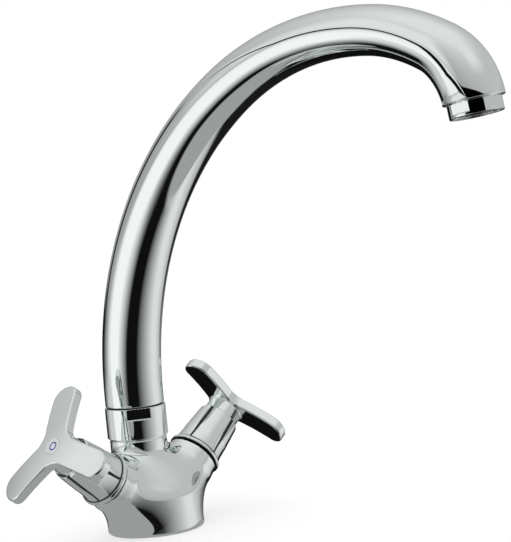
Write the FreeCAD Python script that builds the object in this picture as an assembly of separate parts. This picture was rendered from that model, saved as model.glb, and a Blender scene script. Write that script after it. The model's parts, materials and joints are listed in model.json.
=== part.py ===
"""Deck-mounted kitchen tap with two turning handles and a swivel spout. Millimetres, +Z up.

The origin is the centre of the foot's underside. The two valve branches rise along +X (hot) and -X (cold), the
spout reaches towards -Y, and the neck that carries it stands a little behind the foot's centre.
"""
import FreeCAD, Part
import math
import os

V = FreeCAD.Vector

# ---- clearances ----
FIT = 0.05                    # running fit, on the radius
SLIT = 0.3                    # between outer faces that move past each other
FACE_GAP = 0.05               # between flat faces that slide on each other

# ---- foot, shoulder and neck ----
FOOT_R = 24.6
FOOT_TOP_R = 23.2
FOOT_H = 17.0
FOOT_EDGE = 1.2
NECK_R = 14.4
NECK_Y = 6.7                  # the neck's axis stands this far behind the foot's centre
NECK_START = 41.0             # height where the shoulder has become the neck
NECK_TOP = 47.0               # top of the plain neck, where the nut begins
GASKET_R = 20.0               # mean radius of the ring under the foot
GASKET_SECTION = 2.0

# ---- valve branches ----
BRANCH_RISE = 36.0            # degrees above level
BRANCH_Z = 8.07               # height where the two branch axes meet
BRANCH_R = 14.1
BRANCH_END = 38.0             # along the branch axis, from where the two axes meet
SEAT_T = 17.0                 # depth of the valve seat, along the same axis
VALVE_R = 10.45               # bore for the valve's thread
SEAT_BORE_R = 4.6
BLEND_R = 4.0                 # rounding where the branches leave the shoulder

# ---- water ways and fixing, from below ----
HOSE_R = 4.5
HOSE_X = 9.6
STUD_R = 4.0
STUD_Y = -14.0
STUD_DEPTH = 13.0
MIX_R = 8.6
MIX_FLOOR = 24.0
CROSS_R = 3.4                 # level way that joins both valve chambers to the mixing way
CROSS_Z = 29.0
CROSS_Y = 3.3

# ---- swivel ----
SOCKET_FLOOR = 36.0
SOCKET_R = 10.5
NUT_R = 15.4
NUT_H = 15.6
NUT_WALL = 2.4
NUT_LIP = 2.7
FLAT_W = 12.0                 # spanner flat on the nut
FLAT_H = 5.6
FLAT_DEPTH = 1.25
FLAT_TURN = 52.0              # degrees from +X of the first flat's facing
SLIP_RING_H = 2.2
SLIP_RING_R = 12.4
SPIGOT_BORE_R = 7.2
O_RING_SECTION = 1.9
WASHER_H = 0.6

# ---- spout ----
SPOUT_R = 14.9
SPOUT_START = 67.0            # height where the bends begin
BENDS = ((172.0, 60.0), (145.0, 35.0), (95.0, 23.0), (33.5, 53.0))   # radius, degrees turned
CREST_HALF_H = 11.35
CREST_HALF_W = 14.2
OUTLET_R = 13.7
CREASE_STEP = 0.9             # how far the upper leaf stands out over the lower body
CREASE_LIFT = 1.0
CREASE_FROM = 50.0            # heading, in degrees from straight up, where the leaf begins
SPOUT_WALL = 2.3
BORE_STEP = 0.6               # step from the spigot's bore out to the spout's
SEAM_STEP = 0.06              # least step between leaf and lower body, where the crease has died away
BEND_CHORD = 0.12             # how far a straight facet may cut the outside of a bend

# ---- aerator ----
AERATOR_R = 11.95
AERATOR_DROP = 6.4
AERATOR_FLAT = 11.1           # from the axis to a spanner flat
AERATOR_FLAT_H = 4.6
AERATOR_THREAD_R = 10.6
AERATOR_THREAD_H = 6.5
AERATOR_BORE_R = 9.4
AERATOR_LIP = 1.0             # inward lip that the insert rests on
AERATOR_LIP_H = 1.2
INSERT_WALL = 1.4
JET_PLATE_T = 1.4
JET_R = 0.75
AERATOR_RINGS = 3
SEAL_H = 1.6

# ---- valve insides, lengths along the branch axis ----
SEAT_SEAL_H = 1.6
SEAT_SEAL_R = 7.6
DISC_H = 2.2
PORT_DEG = 72.0
PORT_IN_R = 1.9
PORT_OUT_R = 5.4
CAGE_R = 9.6
CAGE_BORE_R = 7.9             # the fixed disc fills it, the moving one clears it
WINDOW_W = 8.0
DRIVE_H = 3.0
THREAD_START = 27.0
FLANGE_R = 12.2
FLANGE_H = 1.6
HEX_AF = 19.0
HEX_H = 3.6
FIBRE_H = 0.8
BONNET_R = 7.6
BONNET_TOP = 57.0
SPINDLE_R = 4.0
STEM_RING_SECTION = 1.3
CLIP_H = 0.9
CLIP_R = 5.6
SPLINE_R = 3.9
SPLINE_DEPTH = 0.45
SPLINE_TEETH = 20
SPINDLE_TOP = 70.0

# ---- handle ----
ARMS = 3
ARM_REACH = 35.4
ARM_W = 14.2
ARM_SWEEP = 3.8               # how far the tips lean back towards the body
PLATE_T = 5.5
PLATE_BACK = 72.65            # along the branch axis
CROTCH_R = 4.0
ARM_EDGE = 0.9
HUB_R = 9.3
HUB_START = 61.5
COLD_TURN = 48.0              # the cold handle sits one spline tooth round from the hot one's mirror image
HOT_TURN = 90.0

# ---- skirt ----
SKIRT_RIM_R = 14.2
SKIRT_RIM_H = 2.3
SKIRT_TOP_R = 10.9
SKIRT_WAIST_R = 12.1
SKIRT_TOP = 65.0
SKIRT_WALL = 1.2
SKIRT_FLARE = 0.4             # share of the height over which the bell draws in
SKIRT_SHOULDER = 0.8          # step from the rim in to the bell
FLUTES = 5
FLUTE_R = 1.3
FLUTE_DEPTH = 0.7

# ---- handle screw and index ----
SCREW_R = 2.0
SCREW_HEAD_R = 3.5
SCREW_HEAD_H = 2.2
SCREW_REACH = 9.0
SCREW_SEAT = 2.0              # web between the spindle's end and the screw's head
KEY_AF = 2.5                  # hexagon socket
KEY_DEPTH = 1.4
CAP_R = 4.2
CAP_H = 1.4
RING_OUT_R = 2.25
RING_IN_R = 1.6
RING_H = 0.3

# ---- worked out from the above ----
RISE = math.radians(BRANCH_RISE)
NUT_TOP = NECK_TOP + NUT_H
THREAD_R = NUT_R - NUT_WALL
THREAD_H = NUT_H - NUT_LIP - SLIP_RING_H - 2 * FACE_GAP
THREAD_TOP = NECK_TOP + THREAD_H
SPIGOT_R = SOCKET_R - FIT
SPOUT_FOOT = NUT_TOP + WASHER_H + FACE_GAP
HEAD_START = BRANCH_END + FIBRE_H
FIXED_DISC_R = CAGE_BORE_R - FIT
MOVING_DISC_R = CAGE_BORE_R - SLIT
FIXED_DISC_T = SEAT_T + SEAT_SEAL_H
MOVING_DISC_T = FIXED_DISC_T + DISC_H + FACE_GAP
DRIVE_T = MOVING_DISC_T + DISC_H
SKIRT_START = BRANCH_END + SLIT
PLATE_FRONT = PLATE_BACK + PLATE_T
BIG = 200.0


def cyl(radius, low, high, x=0.0, y=0.0):
    """Upright cylinder from one height to another."""
    return Part.makeCylinder(radius, high - low, V(x, y, low))


def tube(outer, inner, low, high, x=0.0, y=0.0):
    return cyl(outer, low, high, x, y).cut(cyl(inner, low - 1, high + 1, x, y))


def turned(points, x=0.0, y=0.0):
    """Solid turned about an upright axis from (radius, height) points."""
    wire = Part.makePolygon([V(r, 0, z) for r, z in points + points[:1]])
    solid = Part.Face(wire).revolve(V(0, 0, 0), V(0, 0, 1), 360)
    solid.translate(V(x, y, 0))
    return solid


def o_ring(mean_r, section, height, x=0.0, y=0.0):
    return Part.makeTorus(mean_r, section / 2, V(x, y, height))


def prism(points, low, high):
    """Upright prism on a flat outline."""
    wire = Part.makePolygon([V(px, py, low) for px, py in points + points[:1]])
    return Part.Face(wire).extrude(V(0, 0, high - low))


def polygon_points(sides, across_flats):
    corner = across_flats / 2 / math.cos(math.pi / sides)
    return [(corner * math.cos(2 * math.pi * k / sides), corner * math.sin(2 * math.pi * k / sides))
            for k in range(sides)]


def on_branch(shape, side):
    """Carry a shape modelled along +Z onto a branch axis; side is +1 for hot and -1 for cold.

    The shape's own X axis ends up along the machine's +Y.
    """
    axis = V(side * math.cos(RISE), 0, math.sin(RISE))
    across = V(0, 1, 0)
    third = axis.cross(across)
    m = FreeCAD.Matrix(across.x, third.x, axis.x, 0,
                       across.y, third.y, axis.y, 0,
                       across.z, third.z, axis.z, BRANCH_Z,
                       0, 0, 0, 1)
    placed = shape.copy()
    placed.Placement = FreeCAD.Placement(m).multiply(placed.Placement)
    return placed


def smooth(x):
    x = min(1.0, max(0.0, x))
    return x * x * (3 - 2 * x)


# ---- body ----
def shoulder():
    """Foot and shoulder, drawn in from the foot to the neck while its centre moves back."""
    rise = NECK_START - FOOT_H
    stations = [(0.0, 0.0, FOOT_R), (FOOT_H / 2, 0.0, (FOOT_R + FOOT_TOP_R) / 2), (FOOT_H, 0.0, FOOT_TOP_R)]
    for share in (0.25, 0.5, 0.75, 1.0):
        radius = FOOT_TOP_R + (NECK_R - FOOT_TOP_R) * smooth(share)
        stations.append((FOOT_H + rise * share, NECK_Y * smooth(share), radius))
    wires = []
    for z, y, r in stations:
        ring = Part.Wire(Part.makeCircle(r, V(0, y, z)))
        ring.rotate(V(0, y, z), V(0, 0, 1), 90)      # the seam goes to the back
        wires.append(ring)
    return Part.makeLoft(wires, True, False)


def branch(side):
    rod = cyl(BRANCH_R, SEAT_T - SEAT_SEAL_H, BRANCH_END)
    return on_branch(rod, side)


def valve_bore(side):
    """Threaded bore with its flat seat, and the drilled way below the seat."""
    bore = cyl(VALVE_R, SEAT_T, BRANCH_END + 1)
    seat_way = cyl(SEAT_BORE_R, HOSE_X / math.cos(RISE) - SEAT_BORE_R / 2, SEAT_T + 1)
    return on_branch(bore.fuse(seat_way), side)


def cross_way():
    """Level bore through the mixing way that ends inside both valve chambers, above their seats."""
    reach = (SEAT_T + SEAT_BORE_R) * math.cos(RISE) - CROSS_R
    return Part.makeCylinder(CROSS_R, 2 * reach, V(-reach, CROSS_Y, CROSS_Z), V(1, 0, 0))


def body():
    solid = shoulder().fuse([branch(1), branch(-1)]).removeSplitter()
    creases = [e for e in solid.Edges if is_blend_edge(e)]
    solid = solid.makeFillet(BLEND_R, creases)
    rim = [e for e in solid.Edges if e.BoundBox.ZMax < FOOT_EDGE]
    solid = solid.makeFillet(FOOT_EDGE, rim)
    neck = cyl(NECK_R, NECK_START, NECK_TOP, y=NECK_Y)
    thread = cyl(THREAD_R - FIT, NECK_TOP, THREAD_TOP, y=NECK_Y)
    solid = solid.fuse([neck, thread])
    solid = solid.cut([valve_bore(1), valve_bore(-1)])
    mixing_way = cyl(MIX_R, MIX_FLOOR, SOCKET_FLOOR + 1, y=NECK_Y)
    socket = cyl(SOCKET_R, SOCKET_FLOOR, THREAD_TOP + 1, y=NECK_Y)
    hoses = [cyl(HOSE_R, -1, BRANCH_Z + HOSE_X * math.tan(RISE), x) for x in (HOSE_X, -HOSE_X)]
    stud = cyl(STUD_R, -1, STUD_DEPTH, y=STUD_Y)
    solid = solid.cut([mixing_way, cross_way(), socket, stud] + hoses)
    groove = tube(GASKET_R + GASKET_SECTION / 2, GASKET_R - GASKET_SECTION / 2, -1, GASKET_SECTION)
    return solid.cut(groove)


def is_blend_edge(edge):
    """True for the curves where a branch leaves the shoulder: neither flat nor round."""
    box = edge.BoundBox
    inside_end = max(abs(box.XMin), abs(box.XMax)) < BRANCH_END * math.cos(RISE) - BLEND_R
    return inside_end and box.ZMax - box.ZMin > BRANCH_R and box.YMax - box.YMin > BRANCH_R


def base_gasket():
    return tube(GASKET_R + GASKET_SECTION / 2 - FIT, GASKET_R - GASKET_SECTION / 2 + FIT, 0, GASKET_SECTION)


# ---- swivel ----
def neck_nut():
    """Collar nut: screws on the neck, and its inward lip holds the slip ring and so the spout."""
    nut = turned([(THREAD_R, NECK_TOP), (NUT_R, NECK_TOP), (NUT_R, NUT_TOP), (SPIGOT_R + SLIT, NUT_TOP),
                  (SPIGOT_R + SLIT, NUT_TOP - NUT_LIP), (THREAD_R, NUT_TOP - NUT_LIP)], y=NECK_Y)
    for turn in (FLAT_TURN, FLAT_TURN + 180):
        block = Part.makeBox(NUT_R, FLAT_W, FLAT_H + 1, V(NUT_R - FLAT_DEPTH, -FLAT_W / 2, NUT_TOP - FLAT_H))
        block.rotate(V(0, 0, 0), V(0, 0, 1), turn)
        block.translate(V(0, NECK_Y, 0))
        nut = nut.cut(block)
    return nut


def slip_ring():
    """Split plastic ring: it sits in the spigot's groove and turns between the neck and the nut's lip."""
    top = NUT_TOP - NUT_LIP - FACE_GAP
    ring = tube(SLIP_RING_R, slip_groove_r(), top - SLIP_RING_H, top, y=NECK_Y)
    split = Part.makeBox(SLIP_RING_R, SLIT * 2, BIG, V(0, NECK_Y - SLIT, 0))
    return ring.cut(split)


def slip_groove_r():
    return SPIGOT_R - SLIP_RING_H / 2


def spout_washer():
    return tube(NUT_R - NUT_WALL / 2, SPIGOT_R + FIT, NUT_TOP, NUT_TOP + WASHER_H, y=NECK_Y)


def spigot_ring_heights():
    lowest = SOCKET_FLOOR + 2 * O_RING_SECTION
    return (lowest, lowest + 4 * O_RING_SECTION)


def spigot_rings():
    mean = SPIGOT_R - O_RING_SECTION / 2
    return Part.makeCompound([o_ring(mean, O_RING_SECTION, z, y=NECK_Y) for z in spigot_ring_heights()])


# ---- spout ----
def spout_stations():
    """Sections up the straight root and along the bends: (reach, height, heading in degrees from straight up)."""
    reach, height, heading = 0.0, SPOUT_START, 0.0
    stations = [(reach, SPOUT_FOOT, heading), (reach, height, heading)]
    for radius, turn in BENDS:
        step = math.degrees(math.sqrt(8 * BEND_CHORD / (radius + SPOUT_R)))
        steps = math.ceil(turn / step)
        for k in range(1, steps + 1):
            a = math.radians(heading)
            b = math.radians(heading + turn * k / steps)
            stations.append((reach + radius * (math.cos(a) - math.cos(b)),
                             height + radius * (math.sin(b) - math.sin(a)), heading + turn * k / steps))
        reach, height, heading = stations[-1]
    return stations


def section_sizes(heading):
    """Half height, half width, crease step and crease lift of the spout at a heading."""
    last = sum(turn for radius, turn in BENDS)
    draw_in = smooth((heading - 5) / 85)
    swell = smooth((heading - 95) / (last - 105))
    half_h = SPOUT_R + (CREST_HALF_H - SPOUT_R) * draw_in + (OUTLET_R - CREST_HALF_H) * swell
    half_w = SPOUT_R + (CREST_HALF_W - SPOUT_R) * draw_in + (OUTLET_R - CREST_HALF_W) * swell
    crease = smooth((heading - CREASE_FROM) / 25) * smooth((last - heading) / 20)
    return half_h, half_w, SEAM_STEP + CREASE_STEP * crease, CREASE_LIFT * crease


def half_oval(half_w, lift, tip):
    """Half an ellipse from (-half_w, lift) round (0, tip) to (half_w, lift)."""
    poles = [V(x * half_w, lift + y * (tip - lift), 0) for x, y in ((-1, 0), (-1, 1), (0, 1), (1, 1), (1, 0))]
    corner = math.sqrt(0.5)
    curve = Part.BSplineCurve()
    curve.buildFromPolesMultsKnots(poles, (3, 2, 3), (0, 1, 2), False, 2, (1, corner, 1, corner, 1))
    return curve.toShape()


def spout_section(station):
    """Closed outline across the spout: a leaf above, and a slightly narrower body below the two creases."""
    reach, height, heading = station
    half_h, half_w, step, lift = section_sizes(heading)
    leaf = half_oval(half_w, lift, half_h)
    under = half_oval(half_w - step, lift, -half_h)
    near = Part.makeLine(V(-half_w, lift, 0), V(-half_w + step, lift, 0))
    far = Part.makeLine(V(half_w - step, lift, 0), V(half_w, lift, 0))
    wire = Part.Wire(Part.__sortEdges__([leaf, far, under, near]))
    wire.Placement = station_placement(station)
    return wire


def station_placement(station):
    """Section X across the spout, section Y towards the outside of the bend, normal along the water's way."""
    reach, height, heading = station
    a = math.radians(heading)
    out = V(0, math.cos(a), math.sin(a))
    ahead = V(0, -math.sin(a), math.cos(a))
    m = FreeCAD.Matrix(1, out.x, ahead.x, 0,
                       0, out.y, ahead.y, NECK_Y - reach,
                       0, out.z, ahead.z, height,
                       0, 0, 0, 1)
    return FreeCAD.Placement(m)


def bore_wall(heading):
    """Wall of the spout at a heading: thick over the spigot and round the aerator's thread."""
    last = sum(turn for radius, turn in BENDS)
    over_spigot = (SPOUT_R - SPIGOT_BORE_R - BORE_STEP - SPOUT_WALL) * (1 - smooth(heading / 18))
    round_thread = (OUTLET_R - AERATOR_BORE_R + 1 - SPOUT_WALL) * smooth((heading - last + 42) / 22)
    return SPOUT_WALL + over_spigot + round_thread


def bore_section(station):
    half_h, half_w, step, lift = section_sizes(station[2])
    wall = bore_wall(station[2])
    above = half_oval(half_w - step - wall, 0, half_h - wall)
    below = half_oval(half_w - step - wall, 0, wall - half_h)
    wire = Part.Wire(Part.__sortEdges__([above, below]))
    wire.Placement = station_placement(station)
    return wire


def spout_bore():
    """The way through the bends; below them the spigot's own bore goes on."""
    return Part.makeLoft([bore_section(s) for s in spout_stations()[1:]], True, True)


def spout():
    stations = spout_stations()
    shell = Part.makeLoft([spout_section(s) for s in stations], True, True)
    spigot = cyl(SPIGOT_R, SOCKET_FLOOR + SLIT, SPOUT_START, y=NECK_Y)
    solid = shell.fuse(spigot)
    solid = solid.cut(spout_bore())
    solid = solid.cut(cyl(SPIGOT_BORE_R, SOCKET_FLOOR - 1, SPOUT_START + 1, y=NECK_Y))
    solid = solid.cut(at_outlet(cyl(AERATOR_THREAD_R + FIT, -1, AERATOR_THREAD_H + SEAL_H)))
    for height in spigot_ring_heights():
        half = O_RING_SECTION / 2 + FIT
        solid = solid.cut(tube(SPIGOT_R + 1, SPIGOT_R - O_RING_SECTION, height - half, height + half, y=NECK_Y))
    groove_top = NUT_TOP - NUT_LIP
    return solid.cut(tube(SPIGOT_R + 1, slip_groove_r(), groove_top - SLIP_RING_H - FACE_GAP, groove_top, y=NECK_Y))


def at_outlet(shape):
    """Carry a shape modelled along +Z, zero at the outlet's rim, so that +Z runs back up into the spout."""
    turn_back = FreeCAD.Placement(V(0, 0, 0), FreeCAD.Rotation(V(0, 1, 0), 180))
    placed = shape.copy()
    placed.Placement = station_placement(spout_stations()[-1]).multiply(turn_back).multiply(placed.Placement)
    return placed


# ---- aerator, modelled with the rim at zero and +Z up into the spout ----
def aerator_shell():
    skirt = cyl(AERATOR_R, -AERATOR_DROP, -SLIT)
    square = prism(square_points(AERATOR_FLAT), -SLIT - AERATOR_FLAT_H, 1)
    collar = cyl(AERATOR_R + 1, -SLIT - AERATOR_FLAT_H, 1)
    skirt = skirt.cut(collar.cut(square))
    thread = cyl(AERATOR_THREAD_R, -SLIT - 1, AERATOR_THREAD_H)
    shell = skirt.fuse(thread).cut(cyl(AERATOR_BORE_R, AERATOR_LIP_H - AERATOR_DROP, AERATOR_THREAD_H + 1))
    return at_outlet(shell.cut(cyl(AERATOR_BORE_R - AERATOR_LIP, -AERATOR_DROP - 1, AERATOR_THREAD_H + 1)))


def square_points(half):
    return [(half, half), (-half, half), (-half, -half), (half, -half)]


def aerator_insert():
    """Plastic jet plate on a ring, resting on the shell's lip."""
    low = AERATOR_LIP_H - AERATOR_DROP
    cup = tube(AERATOR_BORE_R - FIT, AERATOR_BORE_R - INSERT_WALL, low, AERATOR_THREAD_H)
    plate = cyl(AERATOR_BORE_R - INSERT_WALL / 2, low + 1, low + 1 + JET_PLATE_T)
    holes = [cyl(JET_R, low, low + 2 + JET_PLATE_T)]
    for ring in range(1, AERATOR_RINGS + 1):
        reach = ring * (AERATOR_BORE_R - INSERT_WALL - 1) / AERATOR_RINGS
        for k in range(6 * ring):
            a = 2 * math.pi * k / (6 * ring)
            holes.append(cyl(JET_R, low, low + 2 + JET_PLATE_T, reach * math.cos(a), reach * math.sin(a)))
    return at_outlet(cup.fuse(plate.cut(Part.makeCompound(holes))))


def aerator_seal():
    low = AERATOR_THREAD_H
    return at_outlet(tube(AERATOR_THREAD_R, AERATOR_BORE_R - AERATOR_LIP, low, low + SEAL_H))


# ---- valve: everything is turned about +Z, measured from where the branch axes meet ----
def headwork_body():
    """Brass valve housing: cage with two windows, thread, six-sided flange and bonnet."""
    points = [(CAGE_BORE_R, FIXED_DISC_T), (CAGE_R, FIXED_DISC_T), (CAGE_R, THREAD_START),
              (VALVE_R - FIT, THREAD_START), (VALVE_R - FIT, HEAD_START), (BONNET_R, HEAD_START),
              (BONNET_R, BONNET_TOP), (SPINDLE_R + FIT, BONNET_TOP), (SPINDLE_R + FIT, drive_top()),
              (CAGE_BORE_R, drive_top())]
    housing = turned(points)
    hex_start = HEAD_START + FLANGE_H
    flange = cyl(FLANGE_R, HEAD_START, hex_start).fuse(prism(polygon_points(6, HEX_AF), hex_start, hex_start + HEX_H))
    flange = flange.cut(cyl(BONNET_R - 1, HEAD_START - 1, hex_start + HEX_H + 1))
    housing = housing.fuse(flange)
    window = Part.makeBox(2 * CAGE_R + 2, WINDOW_W, drive_top() - MOVING_DISC_T,
                          V(-CAGE_R - 1, -WINDOW_W / 2, MOVING_DISC_T))
    return housing.cut(window)


def drive_top():
    return DRIVE_T + DRIVE_H + FACE_GAP


def fibre_washer():
    return tube(FLANGE_R, VALVE_R, BRANCH_END, HEAD_START)


def seat_seal():
    return tube(SEAT_SEAL_R, SEAT_BORE_R, SEAT_T, FIXED_DISC_T)


def sector(radius, low, high, middle_deg, width_deg):
    """Pie-shaped block."""
    block = Part.makeCylinder(radius, high - low, V(0, 0, low), V(0, 0, 1), width_deg)
    block.rotate(V(0, 0, 0), V(0, 0, 1), middle_deg - width_deg / 2)
    return block


def ported_disc(radius, low):
    """Ceramic disc with two facing ports."""
    disc = cyl(radius, low, low + DISC_H)
    core = cyl(PORT_IN_R, low - 1, low + DISC_H + 1)
    for middle in (0, 180):
        port = sector(PORT_OUT_R, low - 1, low + DISC_H + 1, middle, PORT_DEG)
        disc = disc.cut(port.cut(core))
    return disc


def fixed_disc():
    return ported_disc(FIXED_DISC_R, FIXED_DISC_T)


def moving_disc():
    """Closed at rest: its ports stand a quarter turn from the fixed ones."""
    disc = ported_disc(MOVING_DISC_R, MOVING_DISC_T)
    disc.rotate(V(0, 0, 0), V(0, 0, 1), 90)
    return disc


def spline_points(depth_clearance):
    """Toothed outline of the spindle's end, or of the socket that fits it."""
    points = []
    for k in range(2 * SPLINE_TEETH):
        radius = SPLINE_R + depth_clearance - (SPLINE_DEPTH if k % 2 else 0)
        a = math.pi * k / SPLINE_TEETH
        points.append((radius * math.cos(a), radius * math.sin(a)))
    return points


def spindle():
    """Drive plate on the moving disc, shaft with two ring grooves, clip groove and splined end."""
    plate_top = DRIVE_T + DRIVE_H
    shaft = turned([(0, DRIVE_T), (MOVING_DISC_R, DRIVE_T), (MOVING_DISC_R, plate_top), (SPINDLE_R, plate_top),
                    (SPINDLE_R, spline_start()), (0, spline_start())])
    shaft = shaft.fuse(prism(spline_points(0), spline_start(), SPINDLE_TOP))
    for height in stem_ring_heights():
        shaft = shaft.cut(tube(SPINDLE_R + 1, SPINDLE_R - STEM_RING_SECTION, height - STEM_RING_SECTION / 2 - FIT,
                               height + STEM_RING_SECTION / 2 + FIT))
    shaft = shaft.cut(tube(SPINDLE_R + 1, clip_groove_r(), clip_start(), clip_start() + CLIP_H))
    return shaft.cut(cyl(SCREW_R, SPINDLE_TOP - SCREW_REACH - 1, SPINDLE_TOP + 1))


def spline_start():
    return clip_start() + 2 * CLIP_H


def clip_start():
    return BONNET_TOP + FACE_GAP


def clip_groove_r():
    return SPINDLE_R - CLIP_H / 2


def stem_ring_heights():
    first = drive_top() + 3 * STEM_RING_SECTION
    return (first, first + 3 * STEM_RING_SECTION)


def stem_rings():
    mean = SPINDLE_R - STEM_RING_SECTION / 2
    return Part.makeCompound([o_ring(mean, STEM_RING_SECTION, h) for h in stem_ring_heights()])


def spindle_clip():
    ring = tube(CLIP_R, clip_groove_r(), clip_start(), clip_start() + CLIP_H)
    mouth = Part.makeBox(CLIP_R + 1, clip_groove_r(), CLIP_H + 2, V(0, -clip_groove_r() / 2, clip_start() - 1))
    return ring.cut(mouth)


# ---- handle ----
def arm_outline():
    """Three round-ended arms on a middle disc, as one flat face with rounded crotches."""
    arm_r = ARM_W / 2
    shape = cyl(arm_r, 0, BIG)
    for k in range(ARMS):
        bar = Part.makeBox(ARM_REACH - arm_r, ARM_W, BIG, V(0, -arm_r, 0))
        arm = bar.fuse(cyl(arm_r, 0, BIG, ARM_REACH - arm_r))
        arm.rotate(V(0, 0, 0), V(0, 0, 1), 360 * k / ARMS)
        shape = shape.fuse(arm)
    shape = shape.removeSplitter()
    crotch = arm_r / math.sin(math.pi / ARMS)
    inner = [e for e in shape.Edges if is_upright_at(e, crotch)]
    return shape.makeFillet(CROTCH_R, inner)


def is_upright_at(edge, reach):
    box = edge.BoundBox
    return box.ZMax - box.ZMin > BIG / 2 and abs(math.hypot(box.Center.x, box.Center.y) - reach) < 0.1


def swept_plate():
    """Round plate whose rim leans back towards the body."""
    rim = ARM_REACH + 2
    drop = ARM_SWEEP * (rim / ARM_REACH) ** 2
    front = Part.Arc(V(-rim, 0, PLATE_FRONT - drop), V(0, 0, PLATE_FRONT), V(rim, 0, PLATE_FRONT - drop))
    radius = front.toShape().Curve.Radius
    ball = Part.makeSphere(radius, V(0, 0, PLATE_FRONT - radius))
    hollow = Part.makeSphere(radius, V(0, 0, PLATE_BACK - radius))
    disc = cyl(rim, PLATE_BACK - 2 * ARM_SWEEP, PLATE_FRONT + 1)
    return disc.common(ball).cut(hollow)


def handle(turn):
    prism_arms = arm_outline()
    prism_arms.rotate(V(0, 0, 0), V(0, 0, 1), turn)
    plate = swept_plate().common(prism_arms)
    plate = plate.makeFillet(ARM_EDGE, [e for e in plate.Edges if not is_side_edge(e)])
    hub = cyl(HUB_R, HUB_START, PLATE_BACK + PLATE_T / 3)
    solid = plate.fuse(hub)
    socket = prism(spline_points(FIT), HUB_START - 1, SPINDLE_TOP + FIT)
    screw_way = cyl(SCREW_R + FIT, SPINDLE_TOP - 1, PLATE_FRONT + 1)
    head_way = cyl(SCREW_HEAD_R + FIT, screw_head_t(), PLATE_FRONT + 1)
    cap_way = cyl(CAP_R + FIT, PLATE_FRONT - CAP_H, PLATE_FRONT + 1)
    return solid.cut([socket, screw_way, head_way, cap_way])


def is_side_edge(edge):
    """Edges that run through the plate's thickness."""
    start, end = edge.Vertexes[0].Point, edge.Vertexes[-1].Point
    return math.hypot(start.x - end.x, start.y - end.y) < PLATE_T / 4 and abs(start.z - end.z) > PLATE_T / 2


def screw_head_t():
    return SPINDLE_TOP + SCREW_SEAT


def handle_screw():
    screw = cyl(SCREW_R - FIT, SPINDLE_TOP - SCREW_REACH, screw_head_t() + 0.1)
    head = cyl(SCREW_HEAD_R, screw_head_t(), screw_head_t() + SCREW_HEAD_H)
    top = screw_head_t() + SCREW_HEAD_H
    key = prism(polygon_points(6, KEY_AF), top - KEY_DEPTH, top + 1)
    return screw.fuse(head).cut(key)


def index_cap():
    top = PLATE_FRONT - FIT
    cap = cyl(CAP_R, PLATE_FRONT - CAP_H, top)
    return cap.cut(tube(RING_OUT_R, RING_IN_R, top - RING_H, top + 1))


def index_ring():
    top = PLATE_FRONT - FIT
    return tube(RING_OUT_R, RING_IN_R, top - RING_H, top)


# ---- skirt ----
def skirt():
    """Fluted bell over the valve: a round rim, a flared foot, a straight grip and a closed top round the hub."""
    rim_top = SKIRT_START + SKIRT_RIM_H
    rise = SKIRT_TOP - rim_top
    flare = []
    for share in (0.0, 0.25, 0.5, 0.75, 1.0):
        out = (SKIRT_RIM_R - SKIRT_SHOULDER - SKIRT_WAIST_R) * (1 - share) ** 2
        flare.append((SKIRT_WAIST_R + out, rim_top + rise * SKIRT_FLARE * share))
    outer = [(SKIRT_RIM_R, SKIRT_START), (SKIRT_RIM_R, rim_top)] + flare + [(SKIRT_TOP_R, SKIRT_TOP)]
    inner = [(HUB_R + FIT, SKIRT_TOP), (HUB_R + FIT, HUB_START), (SKIRT_TOP_R - SKIRT_WALL, HUB_START - 2),
             (SKIRT_WAIST_R - SKIRT_WALL, rim_top + rise * SKIRT_FLARE / 2),
             (SKIRT_RIM_R - SKIRT_WALL, rim_top - SKIRT_WALL), (SKIRT_RIM_R - SKIRT_WALL, SKIRT_START)]
    bell = turned(outer + inner)
    for k in range(FLUTES):
        reach = SKIRT_WAIST_R + FLUTE_R - FLUTE_DEPTH
        low, high = rim_top + rise * SKIRT_FLARE * 0.6, SKIRT_TOP + 2
        lean = math.degrees(math.atan2(SKIRT_WAIST_R - SKIRT_TOP_R, rise * (1 - SKIRT_FLARE)))
        rod = Part.makeCylinder(FLUTE_R, high - low, V(reach, 0, low))
        rod = rod.fuse(Part.makeSphere(FLUTE_R, V(reach, 0, low)))
        rod.rotate(V(reach, 0, low), V(0, 1, 0), -lean)
        rod.rotate(V(0, 0, 0), V(0, 0, 1), 360 * (k + 0.5) / FLUTES)
        bell = bell.cut(rod)
    return bell


# ---- writing the pieces ----
def save(name, shape):
    shape.exportStep(os.path.join("parts", name + ".step"))


def main():
    os.makedirs("parts", exist_ok=True)
    save("body", body())
    save("base_gasket", base_gasket())
    save("neck_nut", neck_nut())
    save("slip_ring", slip_ring())
    save("spout_washer", spout_washer())
    save("spigot_o_rings", spigot_rings())
    save("spout", spout())
    save("aerator_shell", aerator_shell())
    save("aerator_insert", aerator_insert())
    save("aerator_seal", aerator_seal())
    for name, side, turn in (("cold", -1, COLD_TURN), ("hot", 1, HOT_TURN)):
        pieces = {"headwork": headwork_body(), "headwork_washer": fibre_washer(), "seat_seal": seat_seal(),
                  "fixed_disc": fixed_disc(), "moving_disc": moving_disc(), "spindle": spindle(),
                  "spindle_o_rings": stem_rings(), "spindle_clip": spindle_clip(), "handle": handle(turn),
                  "skirt": skirt(), "handle_screw": handle_screw(), "index_cap": index_cap(),
                  "index_ring": index_ring()}
        for piece, shape in pieces.items():
            save(name + "_" + piece, on_branch(shape, side))


main()
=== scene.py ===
"""Looks of the two-handle kitchen tap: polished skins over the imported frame, a soft studio and the camera."""
import json
import math

import bmesh
import bpy
import numpy as np
from mathutils import Matrix, Vector

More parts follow.
